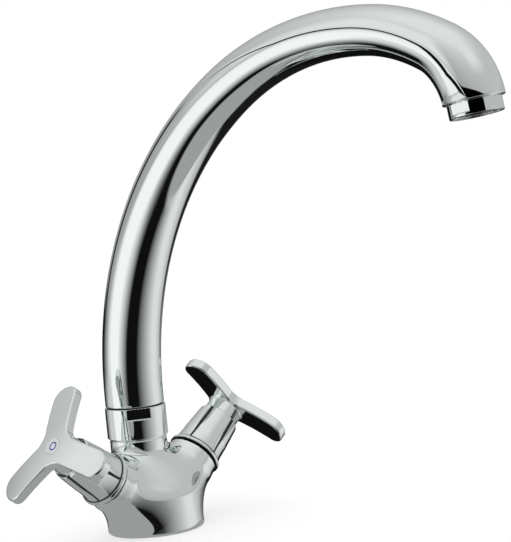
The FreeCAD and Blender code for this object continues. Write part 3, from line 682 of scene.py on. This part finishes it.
def honeycomb_tree():
    """Geometry nodes: hexagonal cells with thin walls, in rows that fill a circle."""
    tree = bpy.data.node_groups.new("aerator_honeycomb", "GeometryNodeTree")
    for name in ("Radius", "Cell", "Wall", "Depth"):
        tree.interface.new_socket(name, in_out="INPUT", socket_type="NodeSocketFloat")
    tree.interface.new_socket("Finish", in_out="INPUT", socket_type="NodeSocketMaterial")
    tree.interface.new_socket("Geometry", in_out="OUTPUT", socket_type="NodeSocketGeometry")
    nodes, links = tree.nodes, tree.links
    given = nodes.new("NodeGroupInput").outputs

    def made(kind, inputs, **settings):
        node = nodes.new(kind)
        for setting, value in settings.items():
            setattr(node, setting, value)
        for socket, value in inputs.items():
            if isinstance(value, bpy.types.NodeSocket):
                links.new(value, node.inputs[socket])
            else:
                node.inputs[socket].default_value = value
        return next(socket for socket in node.outputs if socket.enabled)

    def maths(operation, first, second=0.0):
        return made("ShaderNodeMath", {0: first, 1: second}, operation=operation)

    # rows of centres, every other row moved on by half a cell
    row_gap = maths("MULTIPLY", given["Cell"], math.sqrt(3) / 2)
    spaces = maths("MULTIPLY", maths("CEIL", maths("DIVIDE", given["Radius"], row_gap)), 2.0)
    count = maths("ADD", spaces, 1.0)
    long, wide = maths("MULTIPLY", spaces, given["Cell"]), maths("MULTIPLY", spaces, row_gap)
    grid = made("GeometryNodeMeshGrid", {"Size X": long, "Size Y": wide, "Vertices X": count,
                                         "Vertices Y": count})
    place = made("GeometryNodeInputPosition", {})
    split = nodes.new("ShaderNodeSeparateXYZ")
    links.new(place, split.inputs["Vector"])
    row = maths("ROUND", maths("DIVIDE", split.outputs["Y"], row_gap))
    shift = maths("MULTIPLY", maths("FLOORED_MODULO", row, 2.0), maths("MULTIPLY", given["Cell"], 0.5))
    offset = made("ShaderNodeCombineXYZ", {"X": shift})
    centres = made("GeometryNodeSetPosition", {"Geometry": grid, "Offset": offset})

    # only the cells that lie wholly in the circle
    reach = nodes.new("ShaderNodeVectorMath")
    reach.operation = "LENGTH"
    links.new(place, reach.inputs[0])
    limit = maths("SUBTRACT", given["Radius"], maths("MULTIPLY", given["Cell"], 0.5))
    outside = made("FunctionNodeCompare", {0: reach.outputs["Value"], 1: limit}, data_type="FLOAT",
                   operation="GREATER_THAN")
    kept = made("GeometryNodeDeleteGeometry", {"Geometry": centres, "Selection": outside}, domain="POINT")

    # one cell: a flat wall swept round a hexagon
    corner = maths("DIVIDE", given["Cell"], math.sqrt(3))
    side = maths("SUBTRACT", corner, maths("MULTIPLY", given["Wall"], 0.5))
    hexagon = made("GeometryNodeCurvePrimitiveCircle", {"Resolution": 6, "Radius": side})
    wall = made("GeometryNodeCurvePrimitiveQuadrilateral", {"Width": given["Wall"], "Height": given["Depth"]})
    cell = made("GeometryNodeCurveToMesh", {"Curve": hexagon, "Profile Curve": wall})
    flat = made("GeometryNodeSetShadeSmooth", {"Geometry": cell, "Shade Smooth": False})
    cells = made("GeometryNodeInstanceOnPoints", {"Points": kept, "Instance": flat,
                                                  "Rotation": (0.0, 0.0, math.radians(30))})
    realized = made("GeometryNodeRealizeInstances", {"Geometry": cells})
    dressed = made("GeometryNodeSetMaterial", {"Geometry": realized, "Material": given["Finish"]})
    out = nodes.new("NodeGroupOutput")
    links.new(dressed, out.inputs["Geometry"])
    return tree


def grown(name, tree, values):
    """What a geometry nodes tree makes with these values, as a plain mesh."""
    obj = bpy.data.objects.new(name, bpy.data.meshes.new(name + "_start"))
    bpy.context.scene.collection.objects.link(obj)
    modifier = obj.modifiers.new(name, "NODES")
    modifier.node_group = tree
    for socket in tree.interface.items_tree:
        if socket.in_out == "INPUT":
            modifier[socket.identifier] = values[socket.name]
    evaluated = obj.evaluated_get(bpy.context.evaluated_depsgraph_get())
    mesh = bpy.data.meshes.new_from_object(evaluated)
    obj.modifiers.clear()
    obj.data = mesh
    return obj


def make_honeycomb(plastic):
    """Honeycomb in the aerator's mouth, just below the jet plate."""
    comb = grown("aerator_honeycomb", honeycomb_tree(),
                 {"Radius": COMB_R * MM, "Cell": COMB_CELL * MM, "Wall": COMB_WALL * MM,
                  "Depth": COMB_DEPTH * MM, "Finish": plastic})
    axes, middle = outlet_frame()
    level = AERATOR_LIP_H - AERATOR_DROP + COMB_GAP + COMB_DEPTH / 2
    place = Matrix.Translation(Vector(middle) * MM) @ Matrix(axes.tolist()).to_4x4()
    comb.data.transform(place @ Matrix.Translation((0, 0, level * MM)))
    comb.data.update()
    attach(comb, "swivel_spout")


# ---- handles ----
def handle_field(p):
    """Round-ended arms on a plate whose rim leans back, a hub behind it and a seat for the cap in front."""
    arm_r = ARM_W / 2
    outline = None
    for k in range(ARMS):
        along, across = turned(p, 2 * math.pi * k / ARMS)
        arm = np.hypot(along - np.clip(along, 0, ARM_REACH - arm_r), across) - arm_r
        outline = arm if outline is None else joined(outline, arm, CROTCH_R)
    rho = np.hypot(p[:, 0], p[:, 1])
    level = p[:, 2] + ARM_SWEEP * (rho / ARM_REACH) ** 2
    slant = 1 / np.sqrt(1 + (2 * ARM_SWEEP * rho / ARM_REACH ** 2) ** 2)
    faces = np.maximum(level - PLATE_FRONT, PLATE_BACK - level) * slant
    plate = common(outline, faces, ARM_EDGE)
    hub = rod(p, HUB_R, HUB_START, PLATE_BACK + HUB_SINK, HUB_EDGE)
    seat = rod(p, CAP_R, PLATE_FRONT - CAP_H, PLATE_FRONT + PAST, CAP_SEAT_EDGE)
    return without(joined(plate, hub, HUB_BLEND), seat, CAP_RIM_EDGE)


def make_handles(chrome):
    points, faces, normals = skin(handle_field, *room(ARM_REACH, HUB_START, PLATE_FRONT), HANDLE_CELL)
    for name, side in SIDE.items():
        a = math.radians(TURN[name])
        turn = np.array(((math.cos(a), math.sin(a), 0), (-math.sin(a), math.cos(a), 0), (0, 0, 1)))
        piece(name + "_handle_skin", from_branch(points @ turn, side), faces,
              (normals @ turn) @ branch_axes(side).T, chrome, name + "_control", name + "_handle")


# ---- skirts ----
def skirt_radius(t):
    """Outside of the bell above its ring: a concave flare, then a straight grip that narrows a little."""
    rim_top = SKIRT_START + SKIRT_RIM_H
    share = (t - rim_top) / (SKIRT_TOP - rim_top)
    spread = np.clip(1 - share / SKIRT_FLARE, 0, SKIRT_FLARE_MOST) ** 2
    grip = np.clip((share - SKIRT_FLARE) / (1 - SKIRT_FLARE), 0, 1)
    flare = (SKIRT_RIM_R - SKIRT_SHOULDER - SKIRT_WAIST_R) * spread
    return SKIRT_WAIST_R + flare + (SKIRT_TOP_R - SKIRT_WAIST_R) * grip


def flute_field(p):
    """Round-bottomed flutes that follow the bell's outside and narrow towards its ring."""
    low = SKIRT_START + SKIRT_RIM_H + FLUTE_START
    share = np.clip((p[:, 2] - low) / (SKIRT_TOP - low), 0, 1)
    size = FLUTE_TAPER + (1 - FLUTE_TAPER) * smooth(share * FLUTE_GROW)
    radius = skirt_radius(p[:, 2]) + (FLUTE_R - FLUTE_DEPTH) * size
    below = np.minimum(p[:, 2] - low, 0)
    nearest = np.full(len(p), np.inf)
    for k in range(FLUTES):
        out, across = turned(p, 2 * math.pi * (k + 0.5) / FLUTES)
        nearest = np.minimum(nearest, np.sqrt((out - radius) ** 2 + across ** 2 + below ** 2))
    return nearest - FLUTE_R * size


def bell_field(p):
    """The bell without its ring and flutes."""
    low, high = SKIRT_START + SKIRT_BELL_RISE, SKIRT_TOP
    side = (np.hypot(p[:, 0], p[:, 1]) - skirt_radius(p[:, 2])) * SKIRT_SLOPE
    return common(side, np.abs(p[:, 2] - (low + high) / 2) - (high - low) / 2, SKIRT_BELL_EDGE)


def rim_field(p):
    """Round ring at the foot of the bell."""
    ring_r = SKIRT_RIM_H / 2
    rho = np.hypot(p[:, 0], p[:, 1])
    return np.hypot(rho - (SKIRT_RIM_R - ring_r), p[:, 2] - SKIRT_START - ring_r) - ring_r


def skirt_field(p):
    """Fluted bell on its ring, hollow inside, with a bore for the hub."""
    rho = np.hypot(p[:, 0], p[:, 1])
    solid = without(joined(bell_field(p), rim_field(p), SKIRT_RIM_BLEND), flute_field(p), FLUTE_EDGE)
    hollow = np.maximum(rho - skirt_radius(p[:, 2]) + SKIRT_WALL, p[:, 2] - HUB_START + SKIRT_SEAT)
    bore = np.minimum(hollow, rho - HUB_R - FIT)
    return without(solid, bore, SKIRT_BORE_EDGE)


def skirt_shade(p):
    """Painted shade: dark in the bottom of each flute, in the groove above the ring and under it."""
    depth = skirt_radius(p[:, 2]) - np.hypot(p[:, 0], p[:, 1])
    fluted = smooth((depth - FLUTE_SHADE_FROM) / FLUTE_SHADE_SOFT) * (flute_field(p) < FLUTE_SHADE_NEAR)
    corner = np.hypot(bell_field(p), rim_field(p))
    groove = smooth(GROOVE_SHADE - corner / GROOVE_SHADE_SOFT) * (depth < SKIRT_WALL / 2)
    under = smooth((SKIRT_START + SKIRT_RIM_H * RIM_SHADE_H - p[:, 2]) / RIM_SHADE_SOFT)
    return np.maximum(np.maximum(fluted * FLUTE_SHADE, groove), under)


def make_skirts(shaded_chrome):
    points, faces, normals = skin(skirt_field, *room(SKIRT_RIM_R, SKIRT_START, SKIRT_TOP), SKIRT_CELL)
    # painted shade for the skirts' flutes, the groove above the ring and its underside
    dark = skirt_shade(points)
    for name, side in SIDE.items():
        obj = piece(name + "_skirt_skin", from_branch(points, side), faces, normals @ branch_axes(side).T,
                    shaded_chrome, name + "_control", name + "_skirt")
        shade(obj, "POINT", dark)


# ---- materials ----
def material(name, colour, metallic, roughness):
    made = bpy.data.materials.new(name)
    made.use_nodes = True
    shader = made.node_tree.nodes["Principled BSDF"]
    shader.inputs["Base Color"].default_value = (*colour, 1)
    shader.inputs["Metallic"].default_value = metallic
    shader.inputs["Roughness"].default_value = roughness
    return made, shader


def blended(nodes, links, share, first, second):
    """Colour between two colours, each given plainly or by a socket."""
    node = nodes.new("ShaderNodeMix")
    node.data_type = "RGBA"
    colours = [socket for socket in node.inputs if socket.type == "RGBA"]
    for value, socket in zip((first, second), colours):
        if isinstance(value, tuple):
            socket.default_value = value
        else:
            links.new(value, socket)
    links.new(share, node.inputs["Factor"])
    return next(socket for socket in node.outputs if socket.type == "RGBA")


def mottle_group():
    """Small changes of tone and height over a surface."""
    group = bpy.data.node_groups.new("surface_mottle", "ShaderNodeTree")
    for name in ("Scale", "Dark", "Light"):
        group.interface.new_socket(name, in_out="INPUT", socket_type="NodeSocketFloat")
    for name in ("Value", "Height"):
        group.interface.new_socket(name, in_out="OUTPUT", socket_type="NodeSocketFloat")
    nodes, links = group.nodes, group.links
    given = nodes.new("NodeGroupInput")
    out = nodes.new("NodeGroupOutput")
    where = nodes.new("ShaderNodeTexCoord")
    noise = nodes.new("ShaderNodeTexNoise")
    noise.inputs["Detail"].default_value = MOTTLE_DETAIL
    span = nodes.new("ShaderNodeMapRange")
    links.new(where.outputs["Object"], noise.inputs["Vector"])
    links.new(given.outputs["Scale"], noise.inputs["Scale"])
    links.new(noise.outputs["Fac"], span.inputs["Value"])
    links.new(given.outputs["Dark"], span.inputs["To Min"])
    links.new(given.outputs["Light"], span.inputs["To Max"])
    links.new(span.outputs["Result"], out.inputs["Value"])
    links.new(noise.outputs["Fac"], out.inputs["Height"])
    return group


def mottled(made, shader, group, scale, dark, light, bump):
    """Roughness that varies from dark to light, and a faint relief."""
    nodes, links = made.node_tree.nodes, made.node_tree.links
    mottle = nodes.new("ShaderNodeGroup")
    mottle.node_tree = group
    mottle.inputs["Scale"].default_value = scale
    mottle.inputs["Dark"].default_value = dark
    mottle.inputs["Light"].default_value = light
    links.new(mottle.outputs["Value"], shader.inputs["Roughness"])
    if bump:
        relief = nodes.new("ShaderNodeBump")
        relief.inputs["Distance"].default_value = bump
        links.new(mottle.outputs["Height"], relief.inputs["Height"])
        links.new(relief.outputs["Normal"], shader.inputs["Normal"])


def make_finishes():
    group = mottle_group()
    finishes = {}
    for name, (colour, metallic, dark, light, scale, bump) in FINISHES.items():
        made, shader = material(name, colour, metallic, dark)
        mottled(made, shader, group, scale, dark, light, bump)
        finishes[name] = made
    dull = finishes["dark_plastic"].node_tree.nodes["Principled BSDF"]
    dull.inputs["Specular IOR Level"].default_value = DARK_PLASTIC_GLOSS
    return finishes


def make_painted_shade_chrome(finishes):
    """The plating once more, its colour darkened by the crease attribute: painted shade in creases, flute
    bottoms and hollows.
    """
    made = finishes["chrome_plate"].copy()
    made.name = "chrome_plate_painted_shade"
    nodes, links = made.node_tree.nodes, made.node_tree.links
    shader = nodes["Principled BSDF"]
    crease = nodes.new("ShaderNodeAttribute")
    crease.attribute_name = "crease"
    plain = tuple(shader.inputs["Base Color"].default_value)
    # painted shade: the crease attribute mixes the plating's colour towards near black
    colour = blended(nodes, links, crease.outputs["Fac"], plain, PAINTED_SHADE_TONE)
    links.new(colour, shader.inputs["Base Color"])
    return made


def dress_nodes(frame, finishes):
    """Carried-over nodes take the finish of their slot in the record, or dark plastic where they look so."""
    for part in frame["record"]["subparts"]:
        node = frame["nodes"][part["node"]]
        node.data.materials.clear()
        slot = "dark_plastic" if part["node"] in DARK_NODES else part["material_slot"]
        node.data.materials.append(finishes[slot])


# ---- studio ----
def make_camera():
    level = math.cos(CAMERA_LIFT)
    back = Vector((math.sin(CAMERA_TURN) * level, -math.cos(CAMERA_TURN) * level, math.sin(CAMERA_LIFT)))
    right = Vector((math.cos(CAMERA_TURN), math.sin(CAMERA_TURN), 0))
    up = back.cross(right)
    tilted_right = right * math.cos(CAMERA_ROLL) - up * math.sin(CAMERA_ROLL)
    tilted_up = right * math.sin(CAMERA_ROLL) + up * math.cos(CAMERA_ROLL)
    data = bpy.data.cameras.new("camera")
    data.lens = LENS
    data.sensor_width = 36
    data.sensor_fit = "AUTO"
    data.clip_start = 0.01
    camera = bpy.data.objects.new("camera", data)
    turn = Matrix((tilted_right, tilted_up, back)).transposed().to_4x4()
    camera.matrix_world = Matrix.Translation(Vector(CAMERA_AT) * MM) @ turn
    bpy.context.scene.collection.objects.link(camera)
    bpy.context.scene.camera = camera


def stage_piece(name, points, faces, made):
    mesh = bpy.data.meshes.new(name)
    mesh.from_pydata(points, [], faces)
    mesh.materials.append(made)
    obj = bpy.data.objects.new(name, mesh)
    bpy.context.scene.collection.objects.link(obj)
    return obj


def make_floor():
    """Plain pale floor: white to the camera, with a soft shadow; the polish sees the cards instead."""
    made, shader = material("floor_white", (FLOOR_TONE,) * 3, 0.0, FLOOR_ROUGHNESS)
    nodes, links = made.node_tree.nodes, made.node_tree.links
    way = nodes.new("ShaderNodeLightPath")
    lift = nodes.new("ShaderNodeMath")
    lift.operation = "MULTIPLY"
    lift.inputs[1].default_value = FLOOR_LIFT
    links.new(way.outputs["Is Camera Ray"], lift.inputs[0])
    shader.inputs["Emission Color"].default_value = (1, 1, 1, 1)
    links.new(lift.outputs["Value"], shader.inputs["Emission Strength"])
    corners = [(x * FLOOR_HALF, y * FLOOR_HALF, 0) for x, y in ((-1, -1), (1, -1), (1, 1), (-1, 1))]
    floor = stage_piece("floor", corners, [(0, 1, 2, 3)], made)
    floor.visible_glossy = False


def card_finish(name, tone):
    """Finish of a card: no gloss and no colour of its own, only its glow."""
    made, shader = material(name, (0, 0, 0), 0.0, 1.0)
    shader.inputs["Specular IOR Level"].default_value = 0
    shader.inputs["Emission Color"].default_value = (1, 1, 1, 1)
    shader.inputs["Emission Strength"].default_value = tone
    return made


def polish_only(obj):
    """Hides a card from all but the polish."""
    obj.visible_camera = obj.visible_diffuse = obj.visible_shadow = False


def make_dark_card():
    """Black card in front of the outlet."""
    away = np.array((math.sin(CAMERA_TURN), -math.cos(CAMERA_TURN), 0))
    right = np.array((math.cos(CAMERA_TURN), math.sin(CAMERA_TURN), 0))
    axes, middle = outlet_frame()
    points = []
    for turn, lift in ((0, 0), (1, 0), (1, 1), (0, 1)):
        across = right * DARK_AWAY * math.tan(math.radians(DARK_SPAN[turn]))
        height = (0, 0, DARK_AWAY * math.tan(math.radians(DARK_RISE[lift])))
        points.append(tuple((middle + away * DARK_AWAY + across + height) * MM))
    polish_only(stage_piece("dark_card", points, [(0, 1, 2, 3)], card_finish("dark_card", 0.0)))


def make_table_cards():
    """Grey cards on the table: a wide one to the left of the studio's front, a narrow one to the right."""
    made = card_finish("table_card", TABLE_TONE)
    for name, reach, span in TABLE_CARDS:
        turns = [TOWARD + math.radians(a) for a in np.linspace(*span, TABLE_STEPS)]
        rim = [(reach * MM * math.cos(t), reach * MM * math.sin(t), TABLE_Z * MM) for t in turns]
        faces = [(0, i, i + 1) for i in range(1, TABLE_STEPS)]
        polish_only(stage_piece(name, [(0, 0, TABLE_Z * MM)] + rim, faces, made))


def card_group():
    """Mask of one soft-edged card, seen by azimuth and height."""
    group = bpy.data.node_groups.new("soft_card", "ShaderNodeTree")
    for name in ("Azimuth", "Height") + CARD_EDGES:
        group.interface.new_socket(name, in_out="INPUT", socket_type="NodeSocketFloat")
    group.interface.new_socket("Mask", in_out="OUTPUT", socket_type="NodeSocketFloat")
    nodes, links = group.nodes, group.links
    given = nodes.new("NodeGroupInput")
    out = nodes.new("NodeGroupOutput")
    mask = None
    for value, start, full in (("Azimuth", "Left", "Left Full"), ("Azimuth", "Right", "Right Full"),
                               ("Height", "Low", "Low Full"), ("Height", "High", "High Full")):
        ramp = nodes.new("ShaderNodeMapRange")
        links.new(given.outputs[value], ramp.inputs["Value"])
        links.new(given.outputs[start], ramp.inputs["From Min"])
        links.new(given.outputs[full], ramp.inputs["From Max"])
        edge = ramp.outputs["Result"]
        if mask is not None:
            both = nodes.new("ShaderNodeMath")
            both.operation = "MULTIPLY"
            links.new(mask, both.inputs[0])
            links.new(edge, both.inputs[1])
            edge = both.outputs["Value"]
        mask = edge
    links.new(mask, out.inputs["Mask"])
    return group


def make_world():
    """White to the camera, even to matt surfaces, and a studio of soft cards to the polish."""
    world = bpy.data.worlds.new("studio")
    world.use_nodes = True
    # light sampled past the cards would speckle their dark reflections
    world.cycles.sampling_method = "NONE"
    bpy.context.scene.world = world
    nodes, links = world.node_tree.nodes, world.node_tree.links

    def maths(operation, first, second=None):
        node = nodes.new("ShaderNodeMath")
        node.operation = operation
        links.new(first, node.inputs[0])
        if second is not None:
            links.new(second, node.inputs[1])
        return node.outputs["Value"]

    def mixed(share, first, second):
        node = nodes.new("ShaderNodeMix")
        links.new(share, node.inputs["Factor"])
        for value, socket in ((first, node.inputs["A"]), (second, node.inputs["B"])):
            if isinstance(value, float):
                socket.default_value = value
            else:
                links.new(value, socket)
        return node.outputs["Result"]

    where = nodes.new("ShaderNodeTexCoord")
    facing = nodes.new("ShaderNodeVectorRotate")
    facing.rotation_type = "Z_AXIS"
    facing.inputs["Angle"].default_value = -TOWARD
    links.new(where.outputs["Generated"], facing.inputs["Vector"])
    split = nodes.new("ShaderNodeSeparateXYZ")
    links.new(facing.outputs["Vector"], split.inputs["Vector"])
    azimuth = maths("DEGREES", maths("ARCTAN2", split.outputs["Y"], split.outputs["X"]))
    height = maths("DEGREES", maths("ARCSINE", split.outputs["Z"]))
    group = card_group()
    light = GAP_TONE
    for name, strength, azimuths, heights in CARDS:
        card = nodes.new("ShaderNodeGroup")
        card.node_tree = group
        card.label = name
        links.new(azimuth, card.inputs["Azimuth"])
        links.new(height, card.inputs["Height"])
        for socket, value in zip(CARD_EDGES, azimuths + heights):
            card.inputs[socket].default_value = value
        light = mixed(card.outputs["Mask"], light, strength)
    way = nodes.new("ShaderNodeLightPath")
    light = mixed(way.outputs["Is Diffuse Ray"], light, SKY_TONE)
    light = mixed(way.outputs["Is Camera Ray"], light, 1.0)
    links.new(light, nodes["Background"].inputs["Strength"])
    nodes["Background"].inputs["Color"].default_value = (1, 1, 1, 1)


def main():
    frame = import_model()
    finishes = make_finishes()
    dress_nodes(frame, finishes)
    chrome = finishes["chrome_plate"]
    shaded_chrome = make_painted_shade_chrome(finishes)
    make_body(chrome)
    make_nut(chrome)
    make_spout(shaded_chrome)
    make_aerator(shaded_chrome)
    make_honeycomb(finishes["dark_plastic"])
    make_handles(chrome)
    make_skirts(shaded_chrome)
    make_floor()
    make_table_cards()
    make_dark_card()
    make_world()
    make_camera()
    bpy.context.scene.view_settings.view_transform = "Standard"


main()
